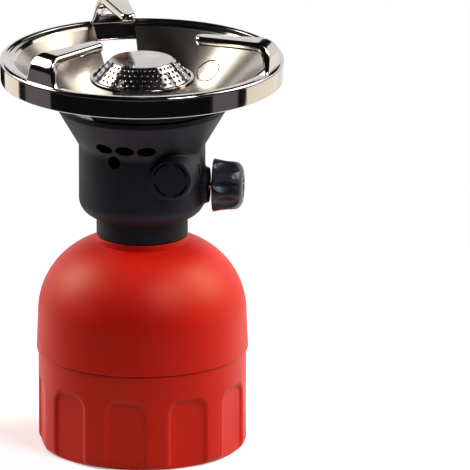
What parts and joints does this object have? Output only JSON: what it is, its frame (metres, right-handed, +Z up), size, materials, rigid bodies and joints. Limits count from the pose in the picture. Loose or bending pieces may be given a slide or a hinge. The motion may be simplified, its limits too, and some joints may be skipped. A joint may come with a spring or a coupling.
{
  "type": "camping gas stove",
  "caption": "Single-burner camping gas stove: screw-together cartridge holder, side regulator knob, perforated burner and a pressed pan with folded pot supports.",
  "frame": {"origin": "centre of the footprint, on the floor, on the burner's axis", "axes": "+Z up the burner's axis, +X along the valve spindle towards the knob"},
  "size_m": [0.148, 0.148, 0.2225],
  "materials": {
    "holder_plastic": "satin",
    "black_plastic": "satin",
    "knob_plastic": "semi-gloss",
    "chrome": "bright plated",
    "burner_steel": "satin",
    "steel": "satin",
    "brass": "machined",
    "rubber": "matte"
  },
  "bodies": {
    "base": {"base_cup": "holder_plastic"},
    "head": {"top_dome": "holder_plastic", "neck_collar": "black_plastic", "burner_housing": "black_plastic", "valve_body": "brass", "spindle_seal": "rubber", "gland_nut": "brass", "gas_jet": "brass", "jet_filter": "steel", "mixing_tube": "steel", "top_pan": "chrome", "pan_nut": "steel", "burner_cup": "steel", "burner_cap": "burner_steel", "clamp_washer": "steel", "clamp_nut": "steel", "piercing_needle": "steel", "piercer_seal": "rubber", "seal_retainer": "brass"},
    "knob": {"control_knob": "knob_plastic"},
    "spindle": {"valve_spindle": "brass"}
  },
  "joints": [
    {"name": "head_lift", "type": "slide", "parent": "base", "child": "head", "axis": [0, 0, 1], "range_m": [0, 0.06]},
    {"name": "knob_turn", "type": "hinge", "parent": "head", "child": "knob", "pos_m": [0.0448, 0, 0.14], "axis": [1, 0, 0], "range_deg": [0, 540]},
    {"name": "spindle_feed", "type": "slide", "parent": "knob", "child": "spindle", "axis": [1, 0, 0], "range_m": [0, 0.0012]}
  ],
  "couplings": [
    {"joint": "spindle_feed", "follows": "knob_turn", "m_per_rad": 0.00012732}
  ]
}
